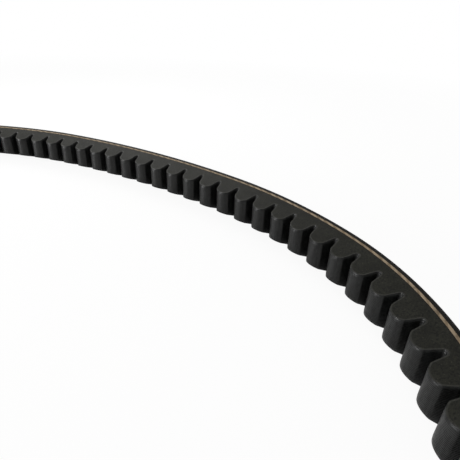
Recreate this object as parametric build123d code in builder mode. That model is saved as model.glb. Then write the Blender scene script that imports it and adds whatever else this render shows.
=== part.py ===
"""Raw-edge V-belt with moulded cogs, lying on its side as a closed oval loop.

The loop is centred on the origin, with its long axis along X and its width along Z. Depths are
measured inwards from the belt's back, and distances along the loop are measured on the cord line.
"""

import os
from math import atan2, cos, pi, radians, sin, sqrt, tan

from build123d import *

os.makedirs("parts", exist_ok=True)

# Loop shape on the cord line, in millimetres and degrees: tangent arcs, alike in all four quarters
cog_count = 84
cog_pitch = 8.1
side_radius = 261.4
side_turn = 9.1
shoulder_radius = 132.7
shoulder_turn = 19.3
loop_length = cog_count * cog_pitch
end_turn = 90.0 - side_turn - shoulder_turn
end_length = loop_length / 4 - side_radius * radians(side_turn) - shoulder_radius * radians(shoulder_turn)
end_radius = end_length / radians(end_turn)

# V section
top_width = 13.0
belt_thickness = 8.0
flank_angle = 20.0

# Layers, from the back inwards
back_ply = 0.3
extension_ply = 0.3
cord_depth = 1.1
cord_diameter = 0.9
cord_flats = 16
cord_spacing = 1.2
cord_turns = 11
adhesion_below = 0.85
facing_ply = 0.35

# Cogs: the notch is round at its root, and each cog ends in a dome between two rounded edges
notch_depth = 4.24
root_radius = 0.7
wall_angle = 16.0
tip_radius = 0.7
dome_radius = 3.6

# Depths of the faces between layers
extension_face = back_ply
adhesion_face = extension_face + extension_ply
compression_face = cord_depth + adhesion_below
notch_face = belt_thickness - notch_depth
beyond_tips = belt_thickness + 1.0

# Cog outline from the middle of a notch: root circle, straight wall, edge circle and dome, all tangent.
# Each centre is a distance along the loop from that middle and a depth below the back.
wall_across = cos(radians(wall_angle))
wall_down = sin(radians(wall_angle))
root_centre = notch_face + root_radius
dome_centre = belt_thickness - dome_radius
corner_across = (root_radius + tip_radius) * wall_across - cog_pitch / 2
corner_down = root_centre - (root_radius + tip_radius) * wall_down - dome_centre
half_sum = corner_across * wall_down + corner_down * wall_across
corner_gap = corner_across**2 + corner_down**2 - (dome_radius - tip_radius) ** 2
wall_length = sqrt(half_sum**2 - corner_gap) - half_sum
tip_across = corner_across + cog_pitch / 2 + wall_length * wall_down
tip_centre = corner_down + dome_centre + wall_length * wall_across
dome_start = atan2(tip_centre - dome_centre, cog_pitch / 2 - tip_across)

# Arcs of the loop, counter-clockwise from the +X end: centre x, centre y, radius, start and sweep
shoulder_shift = (shoulder_radius - end_radius) * cos(radians(end_turn))
side_shift = (side_radius - shoulder_radius) * cos(radians(end_turn + shoulder_turn))
centre_x = shoulder_shift + side_shift
centre_y = 0.0
heading = -end_turn
loop_arcs = []
radii = [end_radius, shoulder_radius, side_radius, shoulder_radius] * 2
turns = [2 * end_turn, shoulder_turn, 2 * side_turn, shoulder_turn] * 2
for place, (radius, turn) in enumerate(zip(radii, turns)):
    loop_arcs.append((centre_x, centre_y, radius, heading, turn))
    heading += turn
    step = radius - radii[(place + 1) % len(radii)]
    centre_x += step * cos(radians(heading))
    centre_y += step * sin(radians(heading))


def loop_point(distance, depth):
    """Point of the loop's mid-plane, a distance along the cord line and a depth below the back."""
    along = distance % loop_length
    for x, y, radius, start, turn in loop_arcs:
        length = radius * radians(turn)
        if along <= length:
            break
        along -= length
    angle = radians(start) + min(along, length) / radius
    reach = radius + cord_depth - depth
    return (x + reach * cos(angle), y + reach * sin(angle))


def section_plane(arc):
    """Plane across the belt at the start of an arc: local X outwards, local Y along the width."""
    x, y, radius, start, turn = arc
    angle = radians(start)
    return Plane(origin=(x, y, 0), x_dir=(cos(angle), sin(angle), 0), z_dir=(sin(angle), -cos(angle), 0))


def turn_along(arc):
    """Revolve the drawn section along one arc of the loop."""
    x, y, radius, start, turn = arc
    revolve(axis=Axis((x, y, 0), (0, 0, 1)), revolution_arc=turn)


def band(arc, top, bottom, mode=Mode.ADD):
    """V-shaped slice of the section, between two depths."""
    reach = arc[2] + cord_depth
    wide = top_width / 2 - top * tan(radians(flank_angle))
    narrow = top_width / 2 - bottom * tan(radians(flank_angle))
    corners = [(reach - top, -wide), (reach - top, wide), (reach - bottom, narrow), (reach - bottom, -narrow)]
    Polygon(*corners, align=None, mode=mode)


def cord_place(turn):
    """Height of one turn of the cord above the belt's mid-plane."""
    return (turn - (cord_turns - 1) / 2) * cord_spacing


def cord_grooves(arc):
    """Take the cords' channels out of the drawn section."""
    with Locations(*[(arc[2], cord_place(turn)) for turn in range(cord_turns)]):
        RegularPolygon(cord_diameter / 2, cord_flats, mode=Mode.SUBTRACT)


def cog_line(inset):
    """Closed line round the inside of the loop, an inset below the cogs' surface."""
    root = root_radius + inset
    tip = tip_radius - inset
    dome = dome_radius - inset
    root_turn = (radians(wall_angle) + pi / 2) / 2
    tip_turn = (dome_start + radians(wall_angle)) / 2
    outline = [
        (0, root_centre - root),
        (root * cos(root_turn), root_centre - root * sin(root_turn)),
        (root * wall_across, root_centre - root * wall_down),
        (tip_across - tip * wall_across, tip_centre + tip * wall_down),
        (tip_across - tip * cos(tip_turn), tip_centre + tip * sin(tip_turn)),
        (tip_across - tip * cos(dome_start), tip_centre + tip * sin(dome_start)),
        (cog_pitch / 2, dome_centre + dome),
    ]
    for cog in range(cog_count):
        notch = end_radius * radians(end_turn) + (cog - 0.5) * cog_pitch
        rise = [loop_point(notch + across, depth) for across, depth in outline]
        fall = [loop_point(notch + cog_pitch - across, depth) for across, depth in outline]
        ThreePointArc(rise[0], rise[1], rise[2])
        Line(rise[2], rise[3])
        ThreePointArc(rise[3], rise[4], rise[5])
        ThreePointArc(rise[5], rise[6], fall[5])
        ThreePointArc(fall[5], fall[4], fall[3])
        Line(fall[3], fall[2])
        ThreePointArc(fall[2], fall[1], fall[0])


# Woven cover on the back
with BuildPart() as back_fabric:
    for arc in loop_arcs:
        with BuildSketch(section_plane(arc)):
            band(arc, 0, extension_face)
        turn_along(arc)
back_fabric.part.label = "back_fabric"
export_step(back_fabric.part, "parts/back_fabric.step")

# Rubber between the cover and the cord's bedding
with BuildPart() as extension_rubber:
    for arc in loop_arcs:
        with BuildSketch(section_plane(arc)):
            band(arc, extension_face, adhesion_face)
        turn_along(arc)
extension_rubber.part.label = "extension_rubber"
export_step(extension_rubber.part, "parts/extension_rubber.step")

# Two sheets of bedding rubber that meet on the cord line and close round each turn of cord
with BuildPart() as upper_adhesion_rubber:
    for arc in loop_arcs:
        with BuildSketch(section_plane(arc)):
            band(arc, adhesion_face, cord_depth)
            cord_grooves(arc)
        turn_along(arc)
upper_adhesion_rubber.part.label = "upper_adhesion_rubber"
export_step(upper_adhesion_rubber.part, "parts/upper_adhesion_rubber.step")

with BuildPart() as lower_adhesion_rubber:
    for arc in loop_arcs:
        with BuildSketch(section_plane(arc)):
            band(arc, cord_depth, compression_face)
            cord_grooves(arc)
        turn_along(arc)
lower_adhesion_rubber.part.label = "lower_adhesion_rubber"
export_step(lower_adhesion_rubber.part, "parts/lower_adhesion_rubber.step")

# Tension cord: each turn is its own ring, and the flanks cut the outermost two
for turn in range(cord_turns):
    with BuildPart() as tension_cord:
        for arc in loop_arcs:
            with BuildSketch(section_plane(arc)):
                with Locations((arc[2], cord_place(turn))):
                    RegularPolygon(cord_diameter / 2, cord_flats)
                band(arc, 0, compression_face, mode=Mode.INTERSECT)
            turn_along(arc)
    name = f"tension_cord_{turn + 1:02d}"
    tension_cord.part.label = name
    export_step(tension_cord.part, f"parts/{name}.step")

# Fibre-loaded rubber body with the cogs
with BuildPart() as compression_rubber:
    for arc in loop_arcs:
        with BuildSketch(section_plane(arc)):
            band(arc, compression_face, beyond_tips)
        turn_along(arc)
    with BuildSketch(Plane.XY.offset(-top_width)):
        with BuildLine():
            cog_line(facing_ply)
        make_face()
    extrude(amount=2 * top_width, mode=Mode.SUBTRACT)
compression_rubber.part.label = "compression_rubber"
export_step(compression_rubber.part, "parts/compression_rubber.step")

# Stretch fabric moulded over the cogs and into the notches, cut flush at the flanks
with BuildPart() as cog_facing_fabric:
    for arc in loop_arcs:
        with BuildSketch(section_plane(arc)):
            band(arc, compression_face, beyond_tips)
        turn_along(arc)
    with BuildSketch(Plane.XY.offset(-top_width)):
        with BuildLine():
            cog_line(0)
        make_face()
    extrude(amount=2 * top_width, mode=Mode.SUBTRACT)
    with BuildSketch(Plane.XY.offset(-top_width)):
        with BuildLine():
            cog_line(facing_ply)
        make_face()
    extrude(amount=2 * top_width, mode=Mode.INTERSECT)
cog_facing_fabric.part.label = "cog_facing_fabric"
export_step(cog_facing_fabric.part, "parts/cog_facing_fabric.step")
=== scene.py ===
"""Looks of the raw-edge cogged V-belt: materials, the woven back, the cut cords, the stage and the camera."""

from math import acos, atan2, cos, pi, radians, sin, tan

import bmesh
import bpy
from mathutils import Matrix, Vector


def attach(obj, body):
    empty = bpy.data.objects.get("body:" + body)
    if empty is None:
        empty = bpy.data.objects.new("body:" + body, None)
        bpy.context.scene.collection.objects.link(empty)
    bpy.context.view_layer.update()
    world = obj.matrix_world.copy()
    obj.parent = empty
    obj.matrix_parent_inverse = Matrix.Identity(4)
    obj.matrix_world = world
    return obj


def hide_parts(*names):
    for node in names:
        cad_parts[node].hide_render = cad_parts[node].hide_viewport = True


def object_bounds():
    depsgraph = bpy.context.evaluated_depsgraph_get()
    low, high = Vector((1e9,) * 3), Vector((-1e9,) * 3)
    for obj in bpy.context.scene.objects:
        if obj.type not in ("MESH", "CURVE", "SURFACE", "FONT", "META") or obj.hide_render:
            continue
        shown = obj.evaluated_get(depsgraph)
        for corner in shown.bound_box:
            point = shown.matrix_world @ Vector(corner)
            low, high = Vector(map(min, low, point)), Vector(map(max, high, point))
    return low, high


MM = 0.001

# The belt's sizes, the same as in the CAD, in millimetres and degrees
COG_COUNT = 84
COG_PITCH = 8.1
SIDE_RADIUS = 261.4
SIDE_TURN = 9.1
SHOULDER_RADIUS = 132.7
SHOULDER_TURN = 19.3
TOP_WIDTH = 13.0
FLANK_ANGLE = 20.0
BACK_PLY = 0.3
CORD_DEPTH = 1.1
CORD_RADIUS = 0.45
CORD_HEIGHT = 6.0
BELT_THICKNESS = 8.0
NOTCH_DEPTH = 4.24
ROOT_RADIUS = 0.7
WALL_ANGLE = 16.0
TIP_RADIUS = 0.7
DOME_RADIUS = 3.6
FACING_PLY = 0.35

# Worn edges: how far the facing's edge drops, and how far the back's corner is ground off
EDGE_DROP = 0.06
BACK_EASE = 0.06
BACK_BEVEL = 0.03

# Steps in the finer meshes: along the loop, along a cog's arcs and walls, and across the belt
BACK_STATIONS = 680
CORD_STATIONS = 2720
ARC_STEPS = 8
WALL_STEPS = 3
HEIGHT_STEPS = 10
BACK_STEPS = 12
RIM_STEPS = 14
CUT_STEPS = 8

# The cut face of an outermost turn: half the angle that it takes from the cord's circle, where its middle
# lies on the way round the section, and the width of clean cord left between the smeared borders
TO_FLANK = (TOP_WIDTH / 2 - CORD_DEPTH * tan(radians(FLANK_ANGLE)) - CORD_HEIGHT) * cos(radians(FLANK_ANGLE))
CUT_HALF_ANGLE = acos(TO_FLANK / CORD_RADIUS)
CUT_MIDDLE = (2 * pi - 2 * CUT_HALF_ANGLE) * CORD_RADIUS + CORD_RADIUS * sin(CUT_HALF_ANGLE)
CUT_LINE = 0.5
SMEAR_WIDTH = 0.1
STRAND_PITCH = 1.35
STRAND_LEAN = 1.6
STRAND_DEPTH = 0.03
RIM_CLEARANCE = 0.004

FLOOR_REACH = 40

LOOP_LENGTH = COG_COUNT * COG_PITCH
END_TURN = 90.0 - SIDE_TURN - SHOULDER_TURN
END_LENGTH = LOOP_LENGTH / 4 - SIDE_RADIUS * radians(SIDE_TURN) - SHOULDER_RADIUS * radians(SHOULDER_TURN)
END_RADIUS = END_LENGTH / radians(END_TURN)


def loop_arcs():
    """Centre, radius, start and sweep of each arc of the cord line, counter-clockwise."""
    radii = [END_RADIUS, SHOULDER_RADIUS, SIDE_RADIUS, SHOULDER_RADIUS] * 2
    turns = [2 * END_TURN, SHOULDER_TURN, 2 * SIDE_TURN, SHOULDER_TURN] * 2
    x = (SHOULDER_RADIUS - END_RADIUS) * cos(radians(END_TURN))
    x += (SIDE_RADIUS - SHOULDER_RADIUS) * cos(radians(END_TURN + SHOULDER_TURN))
    y = 0.0
    heading = -END_TURN
    arcs = []
    for place, (radius, turn) in enumerate(zip(radii, turns)):
        arcs.append((x, y, radius, radians(heading), radians(turn)))
        heading += turn
        step = radius - radii[(place + 1) % len(radii)]
        x += step * cos(radians(heading))
        y += step * sin(radians(heading))
    return arcs


ARCS = loop_arcs()


def belt_point(distance, depth, height):
    """Place in metres, from the way along the cord line, the depth below the back and the height."""
    along = distance % LOOP_LENGTH
    for x, y, radius, start, turn in ARCS:
        if along <= radius * turn:
            break
        along -= radius * turn
    angle = start + min(along / radius, turn)
    reach = radius + CORD_DEPTH - depth
    return ((x + reach * cos(angle)) * MM, (y + reach * sin(angle)) * MM, height * MM)


def sweep(name, stations, section):
    """Closed ring through the (depth, height) points of section(distance). UV is the way along and around."""
    verts = []
    around = []
    for k in range(stations):
        distance = k * LOOP_LENGTH / stations
        points = section(distance)
        verts += [belt_point(distance, depth, height) for depth, height in points]
        walk = [0.0]
        for a, b in zip(points, points[1:] + points[:1]):
            walk.append(walk[-1] + ((a[0] - b[0]) ** 2 + (a[1] - b[1]) ** 2) ** 0.5)
        around.append(walk)
    along = [k * LOOP_LENGTH / stations for k in range(stations + 1)]
    return join_rings(name, verts, along, around, len(points))


def join_rings(name, verts, along, around, smooth_rows):
    """Piece from rings of vertices, with UVs in metres. Its first rows of faces are shaded smooth."""
    count = len(around[0]) - 1
    stations = len(verts) // count
    faces = []
    uvs = []
    smooth = []
    for k in range(stations):
        near = k * count
        far = (k + 1) % stations * count
        u0 = along[k] * MM
        u1 = along[k + 1] * MM
        for i in range(count):
            j = (i + 1) % count
            v0 = around[k][i] * MM
            v1 = around[k][i + 1] * MM
            faces.append((near + i, near + j, far + j, far + i))
            uvs += [(u0, v0), (u0, v1), (u1, v1), (u1, v0)]
            smooth.append(i < smooth_rows)
    return make_piece(name, verts, faces, uvs, smooth)


def make_piece(name, verts, faces, uvs, smooth):
    """Object from lists of vertices, faces, face-corner UVs and smooth flags, its faces turned outwards."""
    mesh = bpy.data.meshes.new(name)
    mesh.from_pydata(verts, [], faces)
    layer = mesh.uv_layers.new(name="along")
    layer.data.foreach_set("uv", [value for pair in uvs for value in pair])
    mesh.polygons.foreach_set("use_smooth", smooth)
    shell = bmesh.new()
    shell.from_mesh(mesh)
    bmesh.ops.recalc_face_normals(shell, faces=shell.faces)
    shell.to_mesh(mesh)
    shell.free()
    mesh.update()
    piece = bpy.data.objects.new(name, mesh)
    bpy.context.scene.collection.objects.link(piece)
    return piece


class Nodes:
    """Short calls for building one material's nodes."""

    def __init__(self, name, roughness, specular):
        self.material = bpy.data.materials.new(name)
        self.material.use_nodes = True
        self.tree = self.material.node_tree
        self.shader = self.tree.nodes["Principled BSDF"]
        self.shader.inputs["Roughness"].default_value = roughness
        self.shader.inputs["Specular IOR Level"].default_value = specular

    def add(self, kind, inputs=(), **settings):
        """A node with its inputs linked or set."""
        node = self.tree.nodes.new(kind)
        for key, value in settings.items():
            setattr(node, key, value)
        for key, value in dict(inputs).items():
            if isinstance(value, bpy.types.NodeSocket):
                self.tree.links.new(value, node.inputs[key])
            else:
                node.inputs[key].default_value = value
        return node

    def place(self, scale=(1, 1, 1), turn=(0, 0, 0), uv=False):
        """Scaled and turned coordinates, of the object or of its UVs, in metres."""
        source = self.add("ShaderNodeTexCoord").outputs["UV" if uv else "Object"]
        mapping = self.add("ShaderNodeMapping", {"Vector": source, "Scale": scale, "Rotation": turn})
        return mapping.outputs["Vector"]

    def noise(self, vector, scale, detail=3.0, roughness=0.55):
        settings = {"Vector": vector, "Scale": scale, "Detail": detail, "Roughness": roughness}
        return self.add("ShaderNodeTexNoise", settings).outputs["Fac"]

    def wave(self, vector, scale, distortion, direction="X"):
        settings = {"Vector": vector, "Scale": scale, "Distortion": distortion}
        return self.add("ShaderNodeTexWave", settings, bands_direction=direction).outputs["Fac"]

    def ramp(self, value, low, high, start=0.0, end=1.0):
        """Grey that goes from start to end as the value goes from low to high."""
        node = self.add("ShaderNodeValToRGB", {"Fac": value})
        for element, place, grey in zip(node.color_ramp.elements, (low, high), (start, end)):
            element.position = place
            element.color = (grey, grey, grey, 1)
        return node.outputs["Color"]

    def mix(self, factor, a, b):
        """Colour from a to b, by a linked or fixed factor."""
        node = self.add("ShaderNodeMix", data_type="RGBA")
        for socket, value in ((node.inputs[0], factor), (node.inputs[6], a), (node.inputs[7], b)):
            if isinstance(value, bpy.types.NodeSocket):
                self.tree.links.new(value, socket)
            elif isinstance(value, tuple):
                socket.default_value = (*value, 1)
            else:
                socket.default_value = value
        return node.outputs[2]

    def math(self, operation, a, b):
        return self.add("ShaderNodeMath", {0: a, 1: b}, operation=operation).outputs[0]

    def finish(self, colour, roughness, heights):
        """Link the colour, any roughness, and a chain of bumps given as height, strength and distance."""
        links = self.tree.links
        links.new(colour, self.shader.inputs["Base Color"])
        if roughness is not None:
            links.new(roughness, self.shader.inputs["Roughness"])
        normal = None
        for height, strength, distance in heights:
            inputs = {"Height": height, "Strength": strength, "Distance": distance}
            if normal is not None:
                inputs["Normal"] = normal
            normal = self.add("ShaderNodeBump", inputs).outputs["Normal"]
        if normal is not None:
            links.new(normal, self.shader.inputs["Normal"])
        return self.material


def flank_rubber(name, dark, light, fibre):
    """Ground raw edge: matt rubber with fine grain and the cut ends of short fibres."""
    n = Nodes(name, 0.62, 0.12)
    spot = n.place()
    cloud = n.noise(spot, 260.0, 4.0)
    grain = n.noise(spot, 2200.0, 3.0, 0.75)
    base = n.mix(n.ramp(cloud, 0.3, 0.7), dark, light)
    specks = n.noise(n.place(scale=(1, 1, 2.2)), 3400.0, 2.0, 0.6)
    base = n.mix(n.ramp(specks, 0.62, 0.72, 0.0, 0.8), base, fibre)
    base = n.mix(n.ramp(grain, 0.4, 0.52, 0.9, 0.0), base, tuple(0.3 * c for c in dark))
    rough = n.ramp(grain, 0.3, 0.7, 0.5, 0.78)
    return n.finish(base, rough, [(grain, 0.5, 0.00008), (cloud, 0.25, 0.0002)])


def facing_fabric():
    """Rubber-coated stretch fabric: ridges across the belt, a crinkled skin and ground edges."""
    n = Nodes("cog_facing", 0.5, 0.3)
    ridges = n.noise(n.place(scale=(1, 1, 0.08)), 1900.0, 3.0, 0.65)
    crinkle = n.noise(n.place(scale=(1, 1, 0.6)), 1150.0, 4.0, 0.7)
    cloud = n.noise(n.place(), 190.0, 4.0)
    tone = n.mix(0.5, ridges, crinkle)
    base = n.mix(n.ramp(tone, 0.44, 0.56), (0.0015, 0.0017, 0.0017), (0.0105, 0.0113, 0.0111))
    base = n.mix(n.ramp(cloud, 0.35, 0.6, 0.4, 0.0), base, (0.0054, 0.0054, 0.0045))
    grain = n.noise(n.place(), 2600.0, 3.0, 0.7)
    cut = n.mix(n.ramp(grain, 0.35, 0.65), (0.0072, 0.0072, 0.0051), (0.0192, 0.0195, 0.0144))
    normal = n.add("ShaderNodeNewGeometry").outputs["True Normal"]
    upward = n.add("ShaderNodeSeparateXYZ", {0: normal}).outputs[2]
    flank = n.ramp(n.math("ABSOLUTE", upward, 0.0), 0.7, 0.85)
    base = n.mix(flank, base, cut)
    rough = n.mix(flank, n.ramp(tone, 0.3, 0.7, 0.42, 0.28), (0.68, 0.68, 0.68))
    rows = n.wave(n.place(), 900.0, 3.5, "Z")
    return n.finish(base, rough, [(rows, 0.6, 0.00005), (crinkle, 0.35, 0.0001)])


def cover_fabric():
    """Bias-cut woven cover, filled and coated with rubber."""
    n = Nodes("cover_weave", 0.6, 0.18)
    bias = radians(58)
    warp = n.wave(n.place(turn=(0, 0, bias), uv=True), 330.0, 0.6)
    weft = n.wave(n.place(turn=(0, 0, -bias), uv=True), 330.0, 0.6)
    weave = n.math("MULTIPLY", warp, weft)
    dust = n.noise(n.place(), 1500.0, 3.0, 0.6)
    cloud = n.noise(n.place(), 140.0, 4.0)
    base = n.mix(n.ramp(weave, 0.05, 0.6), (0.0036, 0.0033, 0.003), (0.0132, 0.0123, 0.0108))
    base = n.mix(n.ramp(dust, 0.6, 0.75, 0.0, 0.5), base, (0.027, 0.024, 0.0198))
    base = n.mix(n.ramp(cloud, 0.35, 0.6, 0.35, 0.0), base, (0.0036, 0.0033, 0.003))
    rough = n.ramp(weave, 0.0, 0.8, 0.75, 0.5)
    return n.finish(base, rough, [(weave, 0.7, 0.00015), (dust, 0.3, 0.00005)])


def cut_cord():
    """Tan tension cord, its strands ground open along the flank and its borders smeared with rubber."""
    n = Nodes("cut_cord", 0.75, 0.12)
    strands = n.wave(n.place(turn=(0, 0, radians(68)), uv=True), 260.0, 2.5)
    wear = n.noise(n.place(), 700.0, 4.0, 0.65)
    patches = n.noise(n.place(), 95.0, 3.0)
    base = n.mix(n.ramp(strands, 0.1, 0.6), (0.18, 0.135, 0.087), (0.3, 0.237, 0.165))
    base = n.mix(n.ramp(wear, 0.36, 0.5, 0.6, 0.0), base, (0.072, 0.054, 0.036))
    base = n.mix(n.ramp(patches, 0.4, 0.62, 0.3, 0.0), base, (0.132, 0.099, 0.066))
    uv = n.add("ShaderNodeTexCoord").outputs["UV"]
    across = n.add("ShaderNodeSeparateXYZ", {0: uv}).outputs[1]
    middle = n.math("ABSOLUTE", n.math("SUBTRACT", across, CUT_MIDDLE * MM), 0.0)
    border = n.math("DIVIDE", n.math("SUBTRACT", middle, 0.5 * CUT_LINE * MM), SMEAR_WIDTH * MM)
    base = n.mix(n.ramp(border, 0.0, 1.0), base, (0.0066, 0.0054, 0.0042))
    return n.finish(base, None, [(strands, 0.4, 0.00006), (wear, 0.4, 0.00005)])


def back_section(distance):
    """Cover fabric, alike all round the loop: its two outer edges are slightly rounded by grinding."""
    lean = tan(radians(FLANK_ANGLE))
    half = TOP_WIDTH / 2
    upper = [
        (BACK_PLY, half - BACK_PLY * lean),
        (BACK_EASE, half - BACK_EASE * lean),
        (BACK_BEVEL / 2, half - BACK_BEVEL),
        (0.0, half - BACK_EASE - BACK_BEVEL),
    ]
    middle = [(0.0, half * (1 - 2 * k / BACK_STEPS)) for k in range(1, BACK_STEPS)]
    lower = [(depth, -height) for depth, height in reversed(upper)]
    return upper + middle + lower


def cord_section(side):
    """Section of an outermost turn: a circle cut by the flank, its cut face ridged by the strands."""
    toward = pi / 2 - radians(FLANK_ANGLE)
    rim = CORD_RADIUS - RIM_CLEARANCE
    rim_turn = 2 * pi - 2 * CUT_HALF_ANGLE

    def section(distance):
        points = []
        for k in range(RIM_STEPS + 1):
            angle = toward + CUT_HALF_ANGLE + rim_turn * k / RIM_STEPS
            points.append((CORD_DEPTH + rim * cos(angle), side * (CORD_HEIGHT + rim * sin(angle))))
        first, last = points[0], points[-1]
        for k in range(1, CUT_STEPS):
            share = k / CUT_STEPS
            depth = last[0] + (first[0] - last[0]) * share
            height = last[1] + (first[1] - last[1]) * share
            ridge = 0.5 - 0.5 * cos(2 * pi * (distance / STRAND_PITCH + STRAND_LEAN * share))
            sunk = STRAND_DEPTH * ridge * sin(pi * share)
            points.append((depth - sunk * cos(toward), height - side * sunk * sin(toward)))
        return points

    return section


def cog_outline():
    """A cog's surface from notch middle to notch middle: way along, depth, and the direction inwards."""
    lean = radians(WALL_ANGLE)
    root_depth = BELT_THICKNESS - NOTCH_DEPTH + ROOT_RADIUS
    dome_depth = BELT_THICKNESS - DOME_RADIUS
    across = (ROOT_RADIUS + TIP_RADIUS) * cos(lean) - COG_PITCH / 2
    down = root_depth - (ROOT_RADIUS + TIP_RADIUS) * sin(lean) - dome_depth
    half_sum = across * sin(lean) + down * cos(lean)
    gap = across**2 + down**2 - (DOME_RADIUS - TIP_RADIUS) ** 2
    wall = (half_sum**2 - gap) ** 0.5 - half_sum
    tip_across = across + COG_PITCH / 2 + wall * sin(lean)
    tip_depth = down + dome_depth + wall * cos(lean)
    dome_start = atan2(tip_depth - dome_depth, COG_PITCH / 2 - tip_across)
    rise = []
    for k in range(ARC_STEPS):
        angle = pi / 2 - (pi / 2 - lean) * k / ARC_STEPS
        x, depth = ROOT_RADIUS * cos(angle), root_depth - ROOT_RADIUS * sin(angle)
        rise.append((x, depth, cos(angle), -sin(angle)))
    foot = (ROOT_RADIUS * cos(lean), root_depth - ROOT_RADIUS * sin(lean))
    for k in range(WALL_STEPS):
        step = wall * k / WALL_STEPS
        rise.append((foot[0] + step * sin(lean), foot[1] + step * cos(lean), cos(lean), -sin(lean)))
    for k in range(ARC_STEPS):
        angle = lean + (dome_start - lean) * k / ARC_STEPS
        x, depth = tip_across - TIP_RADIUS * cos(angle), tip_depth + TIP_RADIUS * sin(angle)
        rise.append((x, depth, cos(angle), -sin(angle)))
    for k in range(ARC_STEPS + 1):
        angle = dome_start + (pi / 2 - dome_start) * k / ARC_STEPS
        x, depth = COG_PITCH / 2 - DOME_RADIUS * cos(angle), dome_depth + DOME_RADIUS * sin(angle)
        rise.append((x, depth, cos(angle), -sin(angle)))
    fall = [(COG_PITCH - x, depth, -inward, deeper) for x, depth, inward, deeper in rise[1:-1]]
    return rise + fall[::-1]


def moulded_facing():
    """The fabric over the cogs: a fine strip, its long edges slightly rounded where the flanks are ground."""
    lean = tan(radians(FLANK_ANGLE))
    first_notch = END_LENGTH - COG_PITCH / 2
    verts = []
    along = []
    walked = 0.0
    outline = cog_outline()
    for cog in range(COG_COUNT):
        for place, (across, depth, inward, deeper) in enumerate(outline):
            distance = first_notch + cog * COG_PITCH + across
            for row in range(HEIGHT_STEPS + 1):
                share = 2 * row / HEIGHT_STEPS - 1
                skin = EDGE_DROP if row in (0, HEIGHT_STEPS) else 0.0
                reach = (TOP_WIDTH / 2 - (depth + skin * deeper) * lean) * share
                verts.append(belt_point(distance + skin * inward, depth + skin * deeper, reach))
            back_depth = depth + FACING_PLY * deeper
            for share in (1, 0, -1):
                reach = (TOP_WIDTH / 2 - back_depth * lean) * share
                verts.append(belt_point(distance + FACING_PLY * inward, back_depth, reach))
            along.append(walked)
            following = outline[(place + 1) % len(outline)]
            shift = COG_PITCH if place + 1 == len(outline) else 0.0
            walked += ((following[0] + shift - across) ** 2 + (following[1] - depth) ** 2) ** 0.5
    along.append(walked)
    count = HEIGHT_STEPS + 4
    rows = [row * TOP_WIDTH / HEIGHT_STEPS for row in range(count + 1)]
    return join_rings("moulded_facing", verts, along, [rows] * (len(along) - 1), HEIGHT_STEPS)


def area_light(name, place, target, size, power):
    """Soft rectangular lamp that aims at a target and doesn't show itself to the camera."""
    lamp = bpy.data.lights.new(name, "AREA")
    lamp.shape = "RECTANGLE"
    lamp.size, lamp.size_y = size
    lamp.energy = power
    obj = bpy.data.objects.new(name, lamp)
    obj.location = place
    obj.rotation_euler = (Vector(target) - Vector(place)).to_track_quat("-Z", "Y").to_euler()
    obj.visible_camera = False
    bpy.context.scene.collection.objects.link(obj)


def camera_share(tree):
    """A factor of 1 for what the camera sees, directly or through glass, and 0 for all other light."""
    path = tree.nodes.new("ShaderNodeLightPath")
    seen = tree.nodes.new("ShaderNodeMath")
    seen.operation = "ADD"
    seen.use_clamp = True
    tree.links.new(path.outputs["Is Camera Ray"], seen.inputs[0])
    tree.links.new(path.outputs["Is Transmission Ray"], seen.inputs[1])
    return seen.outputs[0]


def build_world():
    """Even soft light, with white where the camera looks past the floor."""
    world = bpy.data.worlds.new("studio")
    bpy.context.scene.world = world
    world.use_nodes = True
    tree = world.node_tree
    light = tree.nodes["Background"]
    light.inputs["Color"].default_value = (1.0, 0.99, 0.97, 1)
    light.inputs["Strength"].default_value = 0.42
    white = tree.nodes.new("ShaderNodeBackground")
    white.inputs["Color"].default_value = (1, 1, 1, 1)
    mix = tree.nodes.new("ShaderNodeMixShader")
    tree.links.new(camera_share(tree), mix.inputs[0])
    tree.links.new(light.outputs[0], mix.inputs[1])
    tree.links.new(white.outputs[0], mix.inputs[2])
    tree.links.new(mix.outputs[0], tree.nodes["World Output"].inputs["Surface"])


def build_floor(level):
    """Plain pale floor that goes to white for the camera and still shows the belt's shadow."""
    mesh = bpy.data.meshes.new("floor")
    signs = ((-1, -1), (1, -1), (1, 1), (-1, 1))
    corners = [(x * FLOOR_REACH, y * FLOOR_REACH, level) for x, y in signs]
    mesh.from_pydata(corners, [], [(0, 1, 2, 3)])
    floor = bpy.data.objects.new("floor", mesh)
    bpy.context.scene.collection.objects.link(floor)
    material = bpy.data.materials.new("floor")
    material.use_nodes = True
    tree = material.node_tree
    shader = tree.nodes["Principled BSDF"]
    shader.inputs["Base Color"].default_value = (0.86, 0.86, 0.86, 1)
    shader.inputs["Roughness"].default_value = 0.9
    glow = tree.nodes.new("ShaderNodeEmission")
    glow.inputs["Strength"].default_value = 1.0
    mix = tree.nodes.new("ShaderNodeMixShader")
    far = tree.nodes.new("ShaderNodeVectorMath")
    far.operation = "LENGTH"
    tree.links.new(tree.nodes.new("ShaderNodeTexCoord").outputs["Object"], far.inputs[0])
    reach = tree.nodes.new("ShaderNodeMapRange")
    reach.inputs["From Min"].default_value = 0.15
    reach.inputs["From Max"].default_value = 0.6
    reach.inputs["To Min"].default_value = 0.93
    tree.links.new(far.outputs["Value"], reach.inputs["Value"])
    white = tree.nodes.new("ShaderNodeMath")
    white.operation = "MULTIPLY"
    tree.links.new(camera_share(tree), white.inputs[0])
    tree.links.new(reach.outputs["Result"], white.inputs[1])
    tree.links.new(white.outputs[0], mix.inputs[0])
    tree.links.new(shader.outputs[0], mix.inputs[1])
    tree.links.new(glow.outputs[0], mix.inputs[2])
    tree.links.new(mix.outputs[0], tree.nodes["Material Output"].inputs["Surface"])
    mesh.materials.append(material)


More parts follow.
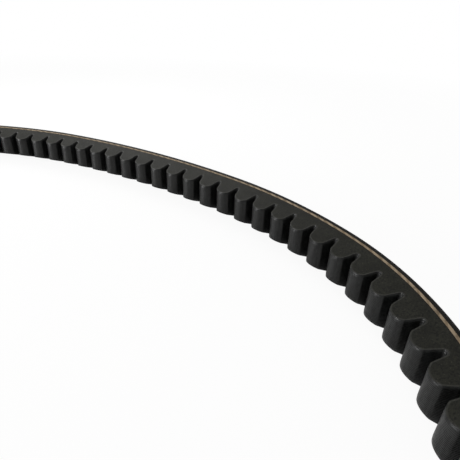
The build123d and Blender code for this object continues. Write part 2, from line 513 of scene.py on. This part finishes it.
def build_camera():
    """Close above the inside of the loop, looking at the flank and cogs of the far side."""
    yaw, pitch, roll = 0.5574, 0.4976, 0.0418
    place = Vector((103.97, -20.63, 53.27)) * MM
    forward = Vector((-sin(yaw) * cos(pitch), cos(yaw) * cos(pitch), -sin(pitch)))
    level = Vector((cos(yaw), sin(yaw), 0))
    above = level.cross(forward)
    right = cos(roll) * level + sin(roll) * above
    up = cos(roll) * above - sin(roll) * level
    lens = bpy.data.cameras.new("camera")
    lens.sensor_width = 36
    lens.lens = 30.75
    lens.clip_start = 0.002
    camera = bpy.data.objects.new("camera", lens)
    turned = Matrix((right, up, -forward)).transposed().to_4x4()
    turned.translation = place
    camera.matrix_world = turned
    bpy.context.scene.collection.objects.link(camera)
    bpy.context.scene.camera = camera


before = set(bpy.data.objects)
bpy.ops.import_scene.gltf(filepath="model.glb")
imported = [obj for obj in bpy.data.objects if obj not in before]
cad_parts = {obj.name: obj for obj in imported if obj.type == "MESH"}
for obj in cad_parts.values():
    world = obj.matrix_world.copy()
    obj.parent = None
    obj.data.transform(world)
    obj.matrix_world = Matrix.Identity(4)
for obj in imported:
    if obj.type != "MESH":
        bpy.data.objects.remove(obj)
cad_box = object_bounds()

# Dark, light and fibre colours of the ground rubber
olive = ((0.009, 0.0091, 0.0066), (0.018, 0.0183, 0.0135), (0.045, 0.0438, 0.033))
brown = ((0.0039, 0.0036, 0.003), (0.0072, 0.0066, 0.0054), (0.021, 0.018, 0.0144))
compression = flank_rubber("compression_flank", *olive)
thin_rubber = flank_rubber("thin_layers", *brown)
cord = cut_cord()
facing = facing_fabric()
cover = cover_fabric()
finishes = {
    "compression_rubber": compression,
    "cog_facing_fabric": facing,
    "back_fabric": cover,
    "extension_rubber": thin_rubber,
    "upper_adhesion_rubber": thin_rubber,
    "lower_adhesion_rubber": compression,
}
for name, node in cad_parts.items():
    node.data.materials.clear()
    node.data.materials.append(finishes.get(name, cord))

back = sweep("woven_back", BACK_STATIONS, back_section)
back.data.materials.append(cover)
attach(back, "root")
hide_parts("back_fabric")
cut_turns = (("cut_cord_lower", "tension_cord_01", -1), ("cut_cord_upper", "tension_cord_11", 1))
for name, node, side in cut_turns:
    piece = sweep(name, CORD_STATIONS, cord_section(side))
    piece.data.materials.append(cord)
    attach(piece, "root")
    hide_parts(node)

moulded = moulded_facing()
moulded.data.materials.append(facing)
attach(moulded, "root")
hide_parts("cog_facing_fabric")

build_world()
build_floor(cad_box[0][2])
area_light("key", (-0.17, 0.17, 0.21), (0.0, 0.06, 0), (0.2, 0.2), 0.63)
area_light("strip", (-0.24, -0.2, 0.1), (0.03, 0.07, 0), (0.06, 0.14), 1.0)
area_light("rim", (0.5, 0.5, 0.3), (0, 0, 0), (0.4, 0.4), 0.45)
build_camera()
bpy.context.scene.view_settings.view_transform = "Standard"
